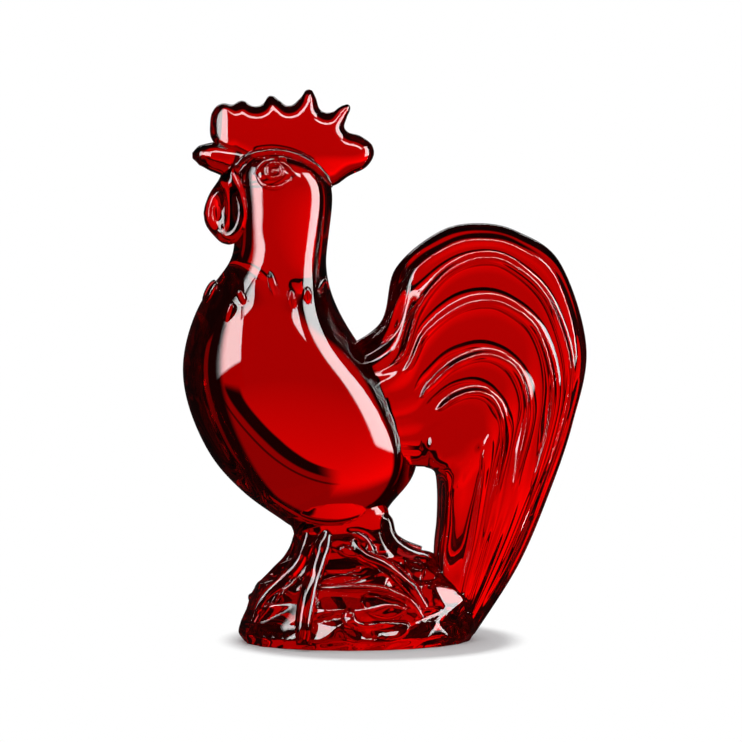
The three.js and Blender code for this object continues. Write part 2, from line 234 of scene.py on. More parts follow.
def apply_modifier(piece, kind, **settings):
    """Adds a modifier with the given settings and applies it."""
    make_active(piece)
    bpy.ops.object.modifier_add(type=kind)
    modifier = piece.modifiers[-1]
    for key, value in settings.items():
        setattr(modifier, key, value)
    bpy.ops.object.modifier_apply(modifier=modifier.name)


def settle(piece, name):
    """Names a piece and puts its place into its mesh."""
    make_active(piece)
    bpy.ops.object.transform_apply(location=True, rotation=True, scale=True)
    piece.name = name
    piece.data.name = name
    return piece


def face_outwards(piece):
    """Merges points that lie on each other and turns all faces outwards."""
    make_active(piece)
    bpy.ops.object.mode_set(mode="EDIT")
    bpy.ops.mesh.select_all(action="SELECT")
    bpy.ops.mesh.remove_doubles(threshold=0.01 * MM)
    bpy.ops.mesh.normals_make_consistent(inside=False)
    bpy.ops.object.mode_set(mode="OBJECT")


def smooth_by_levels(piece, levels):
    if levels:
        apply_modifier(piece, "SUBSURF", levels=levels, render_levels=levels)


def loft(name, stations, sides, levels, side_shift=0.0):
    """A closed skin over level ovals. Each station: height, front, back and half width."""
    deselect()
    for index, (z, front, back, half) in enumerate(stations):
        bpy.ops.mesh.primitive_circle_add(
            vertices=sides, radius=1, location=mm((front + back) / 2, side_shift, z)
        )
        if index == 0:
            piece = bpy.context.object
            bpy.ops.object.mode_set(mode="EDIT")
            bpy.ops.mesh.select_all(action="SELECT")
        bpy.ops.transform.resize(
            value=((back - front) / 2 * MM, half * MM, 1),
            center_override=mm((front + back) / 2, side_shift, z),
        )
    bpy.ops.mesh.select_all(action="SELECT")
    bpy.ops.mesh.bridge_edge_loops()
    bpy.ops.mesh.select_all(action="DESELECT")
    bpy.ops.mesh.select_mode(type="EDGE")
    bpy.ops.mesh.select_non_manifold()
    bpy.ops.mesh.fill_holes(sides=0)
    bpy.ops.object.mode_set(mode="OBJECT")
    face_outwards(piece)
    smooth_by_levels(piece, levels)
    return settle(piece, name)


def plate(name, outline, half_thickness, rounding):
    """A flat plate in the XZ plane with a rounded rim, drawn as a closed smooth curve."""
    deselect()
    bpy.ops.curve.primitive_bezier_circle_add(radius=1, location=(0, 0, 0))
    piece = bpy.context.object
    curve = piece.data
    spline = curve.splines[0]
    spline.bezier_points.add(len(outline) - len(spline.bezier_points))
    for point, (x, z) in zip(spline.bezier_points, outline, strict=True):
        point.co = (x * MM, z * MM, 0)
        point.handle_left_type = "AUTO"
        point.handle_right_type = "AUTO"
    spline.use_cyclic_u = True
    spline.resolution_u = 12
    curve.dimensions = "2D"
    curve.fill_mode = "BOTH"
    curve.extrude = (half_thickness - rounding) * MM
    curve.bevel_depth = rounding * MM
    curve.bevel_resolution = 4
    curve.offset = -rounding * MM
    bpy.ops.object.convert(target="MESH")
    piece = bpy.context.object
    piece.rotation_euler = (math.radians(90), 0, 0)
    settle(piece, name)
    face_outwards(piece)
    return piece


def pillow(name, outline, half_thickness, cell=0.5):
    """A plate whose half thickness is a function of the place and of the distance from the rim."""
    piece = plate(name, outline, 2 * cell, 0)
    rim = KDTree(len(piece.data.vertices))
    for index, vertex in enumerate(piece.data.vertices):
        rim.insert((vertex.co.x, 0, vertex.co.z), index)
    rim.balance()
    apply_modifier(piece, "REMESH", mode="VOXEL", voxel_size=cell * MM)
    for vertex in piece.data.vertices:
        x, y, z = vertex.co
        distance = rim.find((x, 0, z))[2]
        half = half_thickness(x / MM, z / MM, distance / MM)
        vertex.co.y = math.copysign(half * MM, y)
    apply_modifier(piece, "SMOOTH", factor=0.5, iterations=5)
    return piece


def round_rim(distance, reach):
    """Share of the full thickness at a distance from a rim that is rounded over its reach."""
    share = min(distance / reach, 1)
    return math.sqrt(share * (2 - share))


def limited(share):
    """A share kept between 0 and 1."""
    return min(max(share, 0), 1)


def step_up(value, width):
    """Rises smoothly from 0 to 1 while the value runs from 0 to the width."""
    share = limited(value / width)
    return share * share * (3 - 2 * share)


def rod(name, path, radii, roundness=4):
    """A rod along a path, with its own radius at each point."""
    deselect()
    bpy.ops.curve.primitive_bezier_curve_add(radius=1, location=(0, 0, 0))
    piece = bpy.context.object
    curve = piece.data
    spline = curve.splines[0]
    if len(path) > len(spline.bezier_points):
        spline.bezier_points.add(len(path) - len(spline.bezier_points))
    for point, place, radius in zip(spline.bezier_points, path, radii, strict=True):
        point.co = mm(*place)
        point.handle_left_type = "AUTO"
        point.handle_right_type = "AUTO"
        point.radius = radius
    curve.bevel_depth = MM
    curve.bevel_resolution = roundness
    curve.resolution_u = 8
    curve.use_fill_caps = True
    bpy.ops.object.convert(target="MESH")
    piece = bpy.context.object
    face_outwards(piece)
    return settle(piece, name)


def side_of(form, x, z, beyond=None):
    """How far a form reaches out to its side at a place of the XZ plane. Where it isn't there,
    the value given as beyond stands for it."""
    hit, place, _, _ = bpy.data.objects[form].ray_cast(mm(x, -90, z), (0, 1, 0))
    if hit:
        return -place.y / MM
    if beyond is None:
        raise ValueError(f"{form} has no side at {x}, {z}")
    return beyond


def ball(name, place, half_sizes, turn=(0, 0, 0)):
    """An egg: a sphere with its own half size along each axis."""
    deselect()
    bpy.ops.mesh.primitive_uv_sphere_add(
        segments=36, ring_count=18, radius=MM, location=mm(*place), rotation=turn, scale=half_sizes
    )
    return settle(bpy.context.object, name)


# Trunk: belly, breast, neck and head as one run of level ovals. Each station: height, front,
# back and half width.

TRUNK = (
    (36, -29, -2, 14),
    (39.6, -33.4, 0.2, 15),
    (43.6, -39.6, 1.2, 16.6),
    (47.5, -45, 4.8, 18.6),
    (51.5, -49.4, 8.6, 20.4),
    (56, -53.8, 11, 21.9),
    (61, -57.6, 11.6, 23.1),
    (68, -61.4, 10, 24.2),
    (77, -65, 6.6, 25),
    (87, -67, 0.8, 25),
    (96, -66.2, -7, 23.5),
    (105, -63.6, -13, 20.4),
    (113, -59.8, -16.8, 17),
    (119, -54.8, -18.4, 15),
    (124.5, -50.4, -19, 14.1),
    (130, -49.2, -18.4, 13.6),
    (137.5, -49.6, -17.4, 13.2),
    (144, -49.6, -16.6, 12.8),
    (150, -50, -17, 12.2),
    (155, -50, -20.4, 11),
    (158.6, -47.6, -25.4, 7.8),
    (160.4, -41, -31, 3.2),
)
NECK_FOOT, NECK_TOP = 96, 130
THIGH = (-18.5, 10.4, 45.4)
THIGH_HALF_SIZES = (12.5, 7.6, 7.2)


class ROOSTER_OT_trunk(bpy.types.Operator):
    """Model the trunk: belly, breast, neck and head"""

    bl_idname = "rooster.trunk"
    bl_label = "Trunk"

    def execute(self, context):
        sizes = context.scene.rooster_sizes
        body = sizes.body_half_width / (BODY_HALF_WIDTH * MM)
        head = sizes.head_half_width / (HEAD_HALF_WIDTH * MM)
        stations = []
        for z, front, back, half in TRUNK:
            share = step_up(z - NECK_FOOT, NECK_TOP - NECK_FOOT)
            stations.append((z, front, back, half * (body + (head - body) * share)))
        loft("form_trunk", stations, 18, 3)
        x, y, z = THIGH
        for side in (-1, 1):
            ball("form_thigh", (x, side * y, z), THIGH_HALF_SIZES)
        return {"FINISHED"}


# Comb, beak, wattles and eyes. The comb and the wattles are outlines in the XZ plane.

COMB = (
    (-44, 156.5),
    (-51, 160.2),
    (-56, 163.6),
    (-56.9, 169),
    (-55.4, 174.2),
    (-52.6, 175.9),
    (-49.6, 175.4),
    (-46.4, 176.8),
    (-43.2, 175),
    (-40, 175.4),
    (-37.2, 178.4),
    (-34.4, 176.8),
    (-31.4, 175),
    (-27.6, 177.4),
    (-24.6, 180.5),
    (-22.6, 178),
    (-20.8, 173.6),
    (-17.6, 172.9),
    (-13.6, 175.2),
    (-11.4, 175.2),
    (-12.4, 171),
    (-13, 167.6),
    (-7.4, 165),
    (-3.6, 161.2),
    (-4.8, 156.4),
    (-12, 152),
    (-17, 149),
    (-25, 150),
    (-36, 150),
)
COMB_ROOT = 158
COMB_FRONT = -51.2
COMB_REAR = -25
COMB_THINNEST = 1.6

BEAK = ((-44, 0, 156), (-50, 0, 157.4), (-56, 0, 158.6), (-60.4, 0, 159), (-62.6, 0, 158.9))
BEAK_RADII = (6.4, 6, 4.8, 3.2, 1)

WATTLE = (
    (-50.4, 156),
    (-54.4, 150.6),
    (-57.8, 145),
    (-58.9, 138.6),
    (-56.2, 133.4),
    (-51.2, 130),
    (-47, 132),
    (-44, 138),
    (-44.6, 146),
    (-47, 152),
)
WATTLE_HALF_THICKNESS = 5.4
# The hollow in a wattle: its middle, half width, half height and depth
DISH = (-53.3, 141.6, 5, 8.8, 3.2)

EYE = (-37, 154.2)
IRIS_HALF_SIZES = (1.3, 1.6, 1.3)
RING_RADII = (2.6, 1)
UPPER_LID = ((-43, 153), (-41, 156), (-37.6, 157.4), (-33.4, 156), (-30, 152.6))
LOWER_LID = ((-42.6, 152.6), (-40.6, 149.8), (-37.2, 148.8), (-33.8, 149.8), (-31, 152.4))
UPPER_LID_RADII = (0.5, 1.2, 1.4, 1.2, 0.5)
LOWER_LID_RADII = (0.5, 0.9, 1, 0.9, 0.5)

# The raised edge between the head and the comb, at its own distance from the middle plane
CROWN = (
    (-49, 155.6),
    (-46, 158.4),
    (-41, 160),
    (-33, 160),
    (-25.4, 157),
    (-20, 152.4),
    (-18, 148.6),
)
CROWN_SIDE = 6.9
CROWN_RADII = (0.6, 1, 1.2, 1.2, 1.2, 1, 0.6)


class ROOSTER_OT_comb(bpy.types.Operator):
    """Model the toothed comb"""

    bl_idname = "rooster.comb"
    bl_label = "Comb"

    def execute(self, context):
        root_half = context.scene.rooster_sizes.comb_half_thickness / MM

        def half_thickness(x, z, distance):
            half = root_half - 0.19 * max(z - COMB_ROOT, 0) - 0.5 * max(COMB_FRONT - x, 0)
            under_the_lobe = 0.12 * max(COMB_ROOT - z, 0) * limited((x + 24) / 8)
            half -= 0.15 * max(x - COMB_REAR, 0) + under_the_lobe
            rounding = 5 - 3 * step_up(-48 - x, 4)
            return max(half, COMB_THINNEST) * round_rim(distance, rounding)

        pillow("form_comb", COMB, half_thickness)
        return {"FINISHED"}


class ROOSTER_OT_beak(bpy.types.Operator):
    """Model the blunt beak"""

    bl_idname = "rooster.beak"
    bl_label = "Beak"

    def execute(self, context):
        rod("form_beak", BEAK, BEAK_RADII)
        return {"FINISHED"}


class ROOSTER_OT_wattles(bpy.types.Operator):
    """Model the two dished wattles under the beak"""

    bl_idname = "rooster.wattles"
    bl_label = "Wattles"

    def execute(self, context):
        x0, z0, half_width, half_height, depth = DISH

        def half_thickness(x, z, distance):
            off = ((x - x0) / half_width) ** 2 + ((z - z0) / half_height) ** 2
            dish = depth * max(1 - off, 0) ** 1.5
            half = WATTLE_HALF_THICKNESS + 0.4 * max(x + 55, 0)
            return half * round_rim(distance, 3) - dish

        pillow("form_wattles", WATTLE, half_thickness)
        return {"FINISHED"}


class ROOSTER_OT_eyes(bpy.types.Operator):
    """Model the eyes with their lids"""

    bl_idname = "rooster.eyes"
    bl_label = "Eyes"

    def execute(self, context):
        x, z = EYE
        ring, thickness = RING_RADII
        out = side_of("form_trunk", x, z)
        for side in (-1, 1):
            ball("form_iris", (x, side * (out + 0.4), z), IRIS_HALF_SIZES)
            deselect()
            bpy.ops.mesh.primitive_torus_add(
                location=mm(x, side * (out + 0.5), z),
                rotation=(math.radians(90 + side * 20), 0, 0),
                major_segments=40,
                minor_segments=12,
                major_radius=ring * MM,
                minor_radius=thickness * MM,
            )
            settle(bpy.context.object, "form_ring")
            for name, line, radii in (
                ("form_upper_lid", UPPER_LID, UPPER_LID_RADII),
                ("form_lower_lid", LOWER_LID, LOWER_LID_RADII),
            ):
                path = [(px, side * (side_of("form_trunk", px, pz) + 0.6), pz) for px, pz in line]
                rod(name, path, radii)
            rod("form_crown", [(px, side * CROWN_SIDE, pz) for px, pz in CROWN], CROWN_RADII)
        return {"FINISHED"}


# Hackle: tips of the neck feathers that lie raised on the breast. Each tip: its place in the
# XZ plane, its length, half its width and its lean in degrees.

HACKLE = (
    (-57, 114.4, 9, 1.5, -26),
    (-51.8, 108.6, 8, 1.6, -14),
    (-47.6, 113.4, 7, 1.5, 24),
    (-37.6, 117, 11, 1.6, 14),
    (-31.6, 112.6, 8, 1.5, 8),
    (-26.6, 114, 6, 1.8, 0),
    (-21.6, 117, 7, 1.5, -30),
)
HACKLE_HALF_THICKNESS = 1.8
HACKLE_TILT = 14


class ROOSTER_OT_hackle(bpy.types.Operator):
    """Model the feather tips round the foot of the neck"""

    bl_idname = "rooster.hackle"
    bl_label = "Hackle"

    def execute(self, context):
        for x, z, length, width, lean in HACKLE:
            out = side_of("form_trunk", x, z, 4)
            for side in (-1, 1):
                ball(
                    "form_hackle",
                    (x, side * (out + 0.1), z),
                    (width, HACKLE_HALF_THICKNESS, length / 2),
                    (side * math.radians(-HACKLE_TILT), math.radians(-lean), 0),
                )
        return {"FINISHED"}


# Tail: nested feathers. Each quill is a run of points in the XZ plane from the rump, over the
# top and down to the rock.

QUILLS = (
    (
        (-18, 94), (-1.6, 104), (3.6, 122), (17.8, 133.9), (30.9, 136.7), (44, 133.9),
        (58, 123.6), (66.8, 96), (62.4, 71), (54.5, 47.5), (44.3, 23.9), (30, 1.6),
    ),
    (
        (-18, 90), (2.2, 101), (9.4, 121), (20.6, 129.6), (32, 131.8), (43, 129.8),
        (55.8, 119.6), (64.2, 95), (60, 71), (52, 47.5), (41.8, 23.9), (28.6, 1.6),
    ),
    (
        (-18, 86), (2.6, 92), (10, 110), (20.5, 121.6), (32, 125.6), (42, 122.6),
        (53, 111.6), (60.2, 90), (57.2, 69), (49, 46), (39, 23), (27.2, 1.6),
    ),
    (
        (-18, 82), (3.6, 88), (12, 101), (22.8, 109.3), (32.6, 111.7), (41, 109.2),
        (49.4, 101.4), (54.2, 84), (52, 66), (44.6, 43.6), (35.6, 22), (25.8, 1.6),
    ),
    (
        (-18, 75), (5.2, 77.4), (13.6, 84.4), (21.7, 91.2), (31, 94.3), (38.6, 92.2),
        (43.6, 86.4), (45.6, 75), (42.6, 59.4), (38, 40), (31.6, 21), (24.4, 1.6),
    ),
    (
        (-18, 70), (6.6, 71.4), (14.4, 75.6), (20.8, 80.2), (27, 82.3), (32.4, 81.2),
        (36.2, 76.6), (37.8, 68), (36, 54), (32.6, 37), (28, 20), (23, 1.6),
    ),
    (
        (-18, 64), (8, 63.6), (14.6, 65.2), (20, 67.6), (24.6, 68.6), (28, 67.4),
        (30.2, 63.6), (30.6, 57), (29.2, 45.6), (27.2, 32), (24, 17.6), (21.6, 1.6),
    ),
    (
        (-18, 58), (10.6, 57.2), (13.4, 56.8), (15.6, 56), (17, 54.6), (17.7, 52.4),
        (18, 48.8), (18, 44.4), (17.6, 38), (16.6, 29), (17, 16), (19.4, 1.6),
    ),
)
FEATHERS = len(QUILLS) - 1
# The shares of the feathers' length at which each quill starts and ends
QUILL_RUNS = (
    (0.2, 1),
    (0.16, 0.71),
    (0.08, 0.78),
    (0.1, 0.79),
    (0.14, 0.77),
    (0.2, 0.76),
    (0.56, 0.92),
    (0.2, 1),
)
# Half the width of each quill, with 0 where the edge between two feathers is plain
QUILL_WIDTHS = (0, 0, 2.4, 2.6, 2.4, 2.2, 1.6, 0)
# Hollows low in the tail: the quill before, the shares of the feathers' length at which the
# hollow starts and ends, and its depth
HOLLOWS = (
    (2, 0.52, 0.72, 0.7),
    (3, 0.56, 0.8, 0.9),
    (4, 0.58, 0.76, 1),
    (5, 0.58, 0.86, 1.1),
    (1, 0.68, 0.86, 0.6),
    (2, 0.74, 0.93, 0.8),
    (4, 0.78, 0.94, 0.8),
)
# The mesh is finer beside a quill: how far that zone reaches, the most that it may take of a
# feather's width, and the places of the mesh's lines in it
QUILL_ZONE = 2.6
QUILL_ZONE_SHARE = 0.38
ACROSS = (0, 0.08, 0.22, 0.38, 0.56, 0.76, 1)
BETWEEN = 4
ROWS = 120

# The tail's cross section. From its rounded rim a steep flank climbs, turns over its shoulder
# into the face, and the face climbs gently on to the middle of the tail.
RIM_HALF_THICKNESS = 1.1
RIM_ROUNDING = 1
FLANK_SLOPE = 0.97
FLANK_STRAIGHT = 3.7
FLANK_TURN = 2.8
FLANK_END = 6.5
SHOULDER_HALF_THICKNESS = 6.6
FACE_SLOPE = 0.1
FACE_START = 6
FACE_JOINS_BODY = (2, 22)
MIDDLE_START, MIDDLE_REACH = 4, 15
ROOT_SWELLING, ROOT_REACH = 4.5, 13
TAPER, TAPER_FOOT = 0.045, 50
FEATHER_HOLLOW, FEATHER_HOLLOW_MOST = 0.055, 0.7


def spline_point(points, share):
    """The point at a share of the way along a smooth run of points."""
    place = share * (len(points) - 1)
    index = min(int(place), len(points) - 2)
    t = place - index
    before, start, end, after = (
        Vector(points[min(max(index + step, 0), len(points) - 1)]) for step in (-1, 0, 1, 2)
    )
    return 0.5 * (
        2 * start
        + (end - before) * t
        + (2 * before - 5 * start + 4 * end - after) * t * t
        + (3 * start - before - 3 * end + after) * t * t * t
    )


def quill_width(quill, share):
    """Half the width of a quill at a share of the way along the feathers."""
    first, last = QUILL_RUNS[quill]
    along = limited((share - first) / (last - first))
    return QUILL_WIDTHS[quill] * round_rim(along, 0.12) * round_rim(1 - along, 0.45)


class ROOSTER_OT_tail(bpy.types.Operator):
    """Model the arched tail, its feathers and the quills that stand out along them"""

    bl_idname = "rooster.tail"
    bl_label = "Tail"

    def execute(self, context):
        sizes = context.scene.rooster_sizes
        columns = [(0, 0, 0)]
        for quill in range(FEATHERS):
            columns += [(quill, reach, 0) for reach in ACROSS[1:]]
            columns += [(quill, 1, share / BETWEEN) for share in range(1, BETWEEN)]
            columns += [(quill, 2, -reach) for reach in ACROSS[::-1]]
        deselect()
        bpy.ops.mesh.primitive_grid_add(
            x_subdivisions=ROWS, y_subdivisions=len(columns) - 1, size=2, location=(0, 0, 0)
        )
        tail = bpy.context.object
        for vertex in tail.data.vertices:
            row = round((vertex.co.x + 1) / 2 * ROWS)
            column = columns[round((vertex.co.y + 1) / 2 * (len(columns) - 1))]
            vertex.co = self.place(sizes, row / ROWS, column)
        apply_modifier(tail, "MIRROR", use_axis=(False, True, False), merge_threshold=0.02 * MM)
        bpy.ops.object.mode_set(mode="EDIT")
        bpy.ops.mesh.select_mode(type="EDGE")
        bpy.ops.mesh.select_all(action="DESELECT")
        bpy.ops.mesh.select_non_manifold()
        bpy.ops.mesh.fill_holes(sides=0)
        bpy.ops.object.mode_set(mode="OBJECT")
        face_outwards(tail)
        settle(tail, "form_tail")
        return {"FINISHED"}

    def place(self, sizes, share, column):
        """A point of the tail's left side. The column names a quill, the zone beside it and the
        place in that zone."""
        quill, zone, across = column
        start = spline_point(QUILLS[quill], share)
        end = spline_point(QUILLS[quill + 1], share)
        width = (end - start).length
        near = min(QUILL_ZONE, width * QUILL_ZONE_SHARE)
        if zone < 1:
            off = near * zone
        elif zone == 1:
            off = near + (width - 2 * near) * across
        else:
            off = width + near * across
        x, z = start.lerp(end, off / width)
        outer, inner = self.rims(quill, share, off, width)
        half = sizes.tail_half_thickness / MM + ROOT_SWELLING * math.exp(-((x / ROOT_REACH) ** 2))
        half -= TAPER * max(z - TAPER_FOOT, 0)
        half = (half - SHOULDER_HALF_THICKNESS) * step_up(outer - MIDDLE_START, MIDDLE_REACH)
        half += self.flank(x, outer)
        half *= 0.35 * round_rim(inner, 1.6) + 0.65 * round_rim(inner, 8)
        half += self.relief(sizes, quill, share, off, width)
        on_a_rim = min(outer, inner) <= 0.001
        return mm(x, 0 if on_a_rim else -max(half, 0), z)

    def rims(self, quill, share, off, width):
        """How far a point lies from the tail's outer and from its inner rim."""
        outer, inner = off, width - off
        for index in range(FEATHERS):
            start = spline_point(QUILLS[index], share)
            step = (spline_point(QUILLS[index + 1], share) - start).length
            if index < quill:
                outer += step
            if index > quill:
                inner += step
        return outer, inner

    def flank(self, x, outer):
        """Half the thickness at a distance from the outer rim, without the middle's own. Where
        the tail joins the body, the face stays level."""
        turned = limited((outer - FLANK_STRAIGHT) / FLANK_TURN)
        climb = outer - FLANK_TURN * (turned**3 - turned**4 / 2) - max(outer - FLANK_END, 0)
        first, reach = FACE_JOINS_BODY
        half = RIM_HALF_THICKNESS * round_rim(outer, RIM_ROUNDING)
        half += FACE_SLOPE * min(outer, FACE_START)
        half += FACE_SLOPE * max(outer - FACE_START, 0) * step_up(x - first, reach)
        return half + FLANK_SLOPE * climb

    def relief(self, sizes, quill, share, off, width):
        """How far the quills stand out and the feathers and hollows lie in."""
        across = math.sin(math.pi * off / width) ** 2
        relief = -min(FEATHER_HOLLOW * width, FEATHER_HOLLOW_MOST) * across
        for before, first, last, depth in HOLLOWS:
            along = (share - first) / (last - first)
            if before == quill and 0 < along < 1:
                relief -= depth * math.sin(math.pi * along) ** 2 * across
        for edge, distance in ((quill, off), (quill + 1, width - off)):
            reach = quill_width(edge, share)
            if distance < reach:
                crest = 0.5 + 0.5 * math.cos(math.pi * distance / reach)
                relief += sizes.quill_height / MM * min(reach / 1.6, 1) * crest
        return relief


# Legs, toes and rock. The legs and the rock are level ovals like the trunk.

LEG = (
    (10, -38, 12, 9.6),
    (20, -35, 10, 9),
    (25, -31.6, 7.4, 8),
    (33, -29, 2.8, 7.2),
    (36.5, -29.6, 1.4, 7.2),
    (42, -34, 1, 8),
    (48, -36, 0.4, 8),
)
LEG_SPREAD = 7.4

TOES = (
    (
        (-25.6, 10, 40), (-26.4, 10.6, 33), (-29, 10, 26.4),
        (-34.4, 9.8, 21), (-40.6, 9.8, 15), (-44, 9.8, 8),
    ),
    (
        (-19, 11.6, 42), (-21, 13.4, 34), (-23.8, 16, 26.6),
        (-27, 21, 17), (-28.8, 24.2, 8), (-29, 25, 2),
    ),
    ((-12, 12, 38), (-10, 14.6, 31), (-1, 16.4, 26), (6, 19.8, 20), (11, 22.4, 13)),
    ((-23, 18.6, 19.6), (-14, 20.6, 19.8), (-3, 21, 19.2), (6, 22.8, 15), (10, 23.2, 10)),
    ((-3, 8, 45), (-1, 10, 40), (0.4, 10.6, 35), (5.4, 10, 30.6), (13, 8, 28.4)),
)
TOE_RADII = (
    (1, 2.8, 3, 2.6, 2, 1.2),
    (1, 2.8, 3.2, 3.2, 2.8, 2.2),
    (0.8, 2.4, 2.8, 2.6, 1.4),
    (0.8, 1.8, 1.8, 1.6, 0.8),
    (1, 2.8, 2.8, 2.4, 1.4),
)

# Raised fields on the rock and the legs, as outlines in the XZ plane
PADS = (
    (
        (-17.4, 31.4), (-9, 28), (-4.2, 28.4), (-4.8, 33),
        (-11.4, 38), (-12.6, 37.2), (-8, 32.6), (-16, 33.4),
    ),
    ((5.7, 26.4), (12, 25.4), (11.4, 22), (10.3, 18.6)),
    ((-9.8, 17), (-0.2, 16.6), (5.2, 13), (4, 11), (-8.4, 11.4)),
    ((-17, 11.2), (-13.2, 13.6), (-11, 10.2), (-2.1, 10), (6, 7.6), (-13.9, 7.4)),
    ((-42.4, 15.6), (-33.4, 22.2), (-30, 23), (-34, 17.6), (-40, 13.4)),
)
PAD_SUNK = 1
PAD_HEIGHT = 2.8
PAD_ROUNDING = 1.4
PAD_CELL = 0.4
PAD_BEYOND = 8

ROCK = (
    (-2, -45.2, 27.4, 25.2),
    (3.2, -48.4, 30.6, 27.4),
    (7.5, -46.2, 29, 25.8),
    (13.5, -45, 29, 25.8),
    (18.5, -40.4, 27, 21.4),
    (24, -34, 22, 17.5),
    (29, -28, 15, 12.3),
)
ROCK_FACETS = 21
ROCK_ROUGHNESS = 1.4


class ROOSTER_OT_legs(bpy.types.Operator):
    """Model the two legs"""

    bl_idname = "rooster.legs"
    bl_label = "Legs"

    def execute(self, context):
        for side in (-1, 1):
            loft("form_leg", LEG, 20, 3, side * LEG_SPREAD)
        return {"FINISHED"}


class ROOSTER_OT_toes(bpy.types.Operator):
    """Model the toes that grip the rock, and the raised fields between them"""

    bl_idname = "rooster.toes"
    bl_label = "Toes"

    def execute(self, context):
        for side in (-1, 1):
            for toe, radii in zip(TOES, TOE_RADII, strict=True):
                rod("form_toe", [(x, side * y, z) for x, y, z in toe], radii, 2)

        def half_thickness(x, z, distance):
            ground = max(side_of(form, x, z, PAD_BEYOND) for form in ("form_rock", "form_leg"))
            return ground - PAD_SUNK + PAD_HEIGHT * round_rim(distance, PAD_ROUNDING)

        for pad in PADS:
            pillow("form_pad", pad, half_thickness, PAD_CELL)
        return {"FINISHED"}


class ROOSTER_OT_rock(bpy.types.Operator):
    """Model the hewn rock"""

    bl_idname = "rooster.rock"
    bl_label = "Rock"

    def execute(self, context):
        rock = loft("form_rock", ROCK, ROCK_FACETS, 0)
        heights = [station[0] * MM for station in ROCK]
        for vertex in rock.data.vertices:
            level = min(range(len(ROCK)), key=lambda k: abs(heights[k] - vertex.co.z))
            z, front, back, half = ROCK[level]
            middle, deep = (front + back) / 2, (back - front) / 2
            turn = math.atan2(vertex.co.y / half, (vertex.co.x - middle * MM) / deep)
            corner = round(turn / math.tau * ROCK_FACETS) % ROCK_FACETS
            turn = (corner + 0.5 * (level % 2)) / ROCK_FACETS * math.tau
            rough = ROCK_ROUGHNESS if 1 < level < len(ROCK) - 1 else 0
            # The sines give each corner its own reach and height, the same in every run
            reach = rough * math.sin(2.4 * corner + 1.7 * level)
            vertex.co = mm(
                middle + (deep + reach) * math.cos(turn),
                (half + reach) * math.sin(turn),
                z + rough * math.sin(1.9 * corner + 2.9 * level),
            )
        sizes = context.scene.rooster_sizes
        apply_modifier(rock, "REMESH", mode="VOXEL", voxel_size=sizes.voxel)
        apply_modifier(rock, "SMOOTH", factor=0.5, iterations=sizes.polish)
        return {"FINISHED"}


# The casting

CRYSTAL_SURFACE = (1.0, 0.93, 0.93, 1)
RIPPLES_PER_METRE = 90
RIPPLE_HEIGHT = 0.4
SMOOTH_ANGLE = 70


def crystal_material(look):
    """Clear glass that is coloured through, with the faint waves of a fire-polished surface."""
    material = bpy.data.materials.new("red_crystal")
    material.use_nodes = True
    tree = material.node_tree
    shader = tree.nodes["Principled BSDF"]
    shader.inputs["Base Color"].default_value = CRYSTAL_SURFACE
    shader.inputs["Transmission Weight"].default_value = 1
    shader.inputs["IOR"].default_value = look.ior
    shader.inputs["Roughness"].default_value = look.roughness
    coordinates = tree.nodes.new("ShaderNodeTexCoord")
    noise = tree.nodes.new("ShaderNodeTexNoise")
    noise.inputs["Scale"].default_value = RIPPLES_PER_METRE
    noise.inputs["Detail"].default_value = 1
    bump = tree.nodes.new("ShaderNodeBump")
    bump.inputs["Strength"].default_value = look.ripple
    bump.inputs["Distance"].default_value = RIPPLE_HEIGHT * MM
    tree.links.new(coordinates.outputs["Object"], noise.inputs["Vector"])
    tree.links.new(noise.outputs["Fac"], bump.inputs["Height"])
    tree.links.new(bump.outputs["Normal"], shader.inputs["Normal"])
    volume = tree.nodes.new("ShaderNodeVolumeAbsorption")
    volume.inputs["Color"].default_value = (*look.tint, 1)
    volume.inputs["Density"].default_value = look.density
    tree.links.new(volume.outputs["Volume"], tree.nodes["Material Output"].inputs["Volume"])
    return material


class ROOSTER_OT_casting(bpy.types.Operator):
    """Fuse the forms into one closed body of crystal"""

    bl_idname = "rooster.casting"
    bl_label = "Casting"

    def execute(self, context):
        forms = [piece for piece in bpy.data.objects if piece.name.startswith("form_")]
        casting = settle(bpy.data.objects["form_trunk"], CASTING)
        forms.remove(casting)
        group = bpy.data.collections.new("forms")
        for form in forms:
            group.objects.link(form)
        apply_modifier(
            casting,
            "BOOLEAN",
            operation="UNION",
            solver="MANIFOLD",
            operand_type="COLLECTION",
            collection=group,
        )
        for form in forms:
            bpy.data.objects.remove(form)
        bpy.data.collections.remove(group)
        make_active(casting)
        bpy.ops.object.mode_set(mode="EDIT")
        bpy.ops.mesh.select_all(action="SELECT")
        bpy.ops.mesh.bisect(
            plane_co=(0, 0, 0), plane_no=(0, 0, -1), use_fill=True, clear_outer=True
        )
        bpy.ops.object.mode_set(mode="OBJECT")
        bpy.ops.object.shade_smooth_by_angle(angle=math.radians(SMOOTH_ANGLE))
        casting.data.materials.clear()
        casting.data.materials.append(crystal_material(context.scene.crystal_look))
        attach(casting, "root")
        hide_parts(*frame["nodes"])
        return {"FINISHED"}


# The studio

# What is seen through the crystal goes by direction alone. Aside is how far a direction leads
# to either side for each metre ahead, and slant is the same with its sign. Upwards is how far
# it rises for each metre ahead.

# The wall's brightness straight ahead, what it gains to the right and upwards, and its limits
WALL_LEVEL = 1.03
WALL_GAIN_RIGHT = -0.6
WALL_GAIN_UP = 1.9
WALL_LIMITS = (0.7, 1.6)
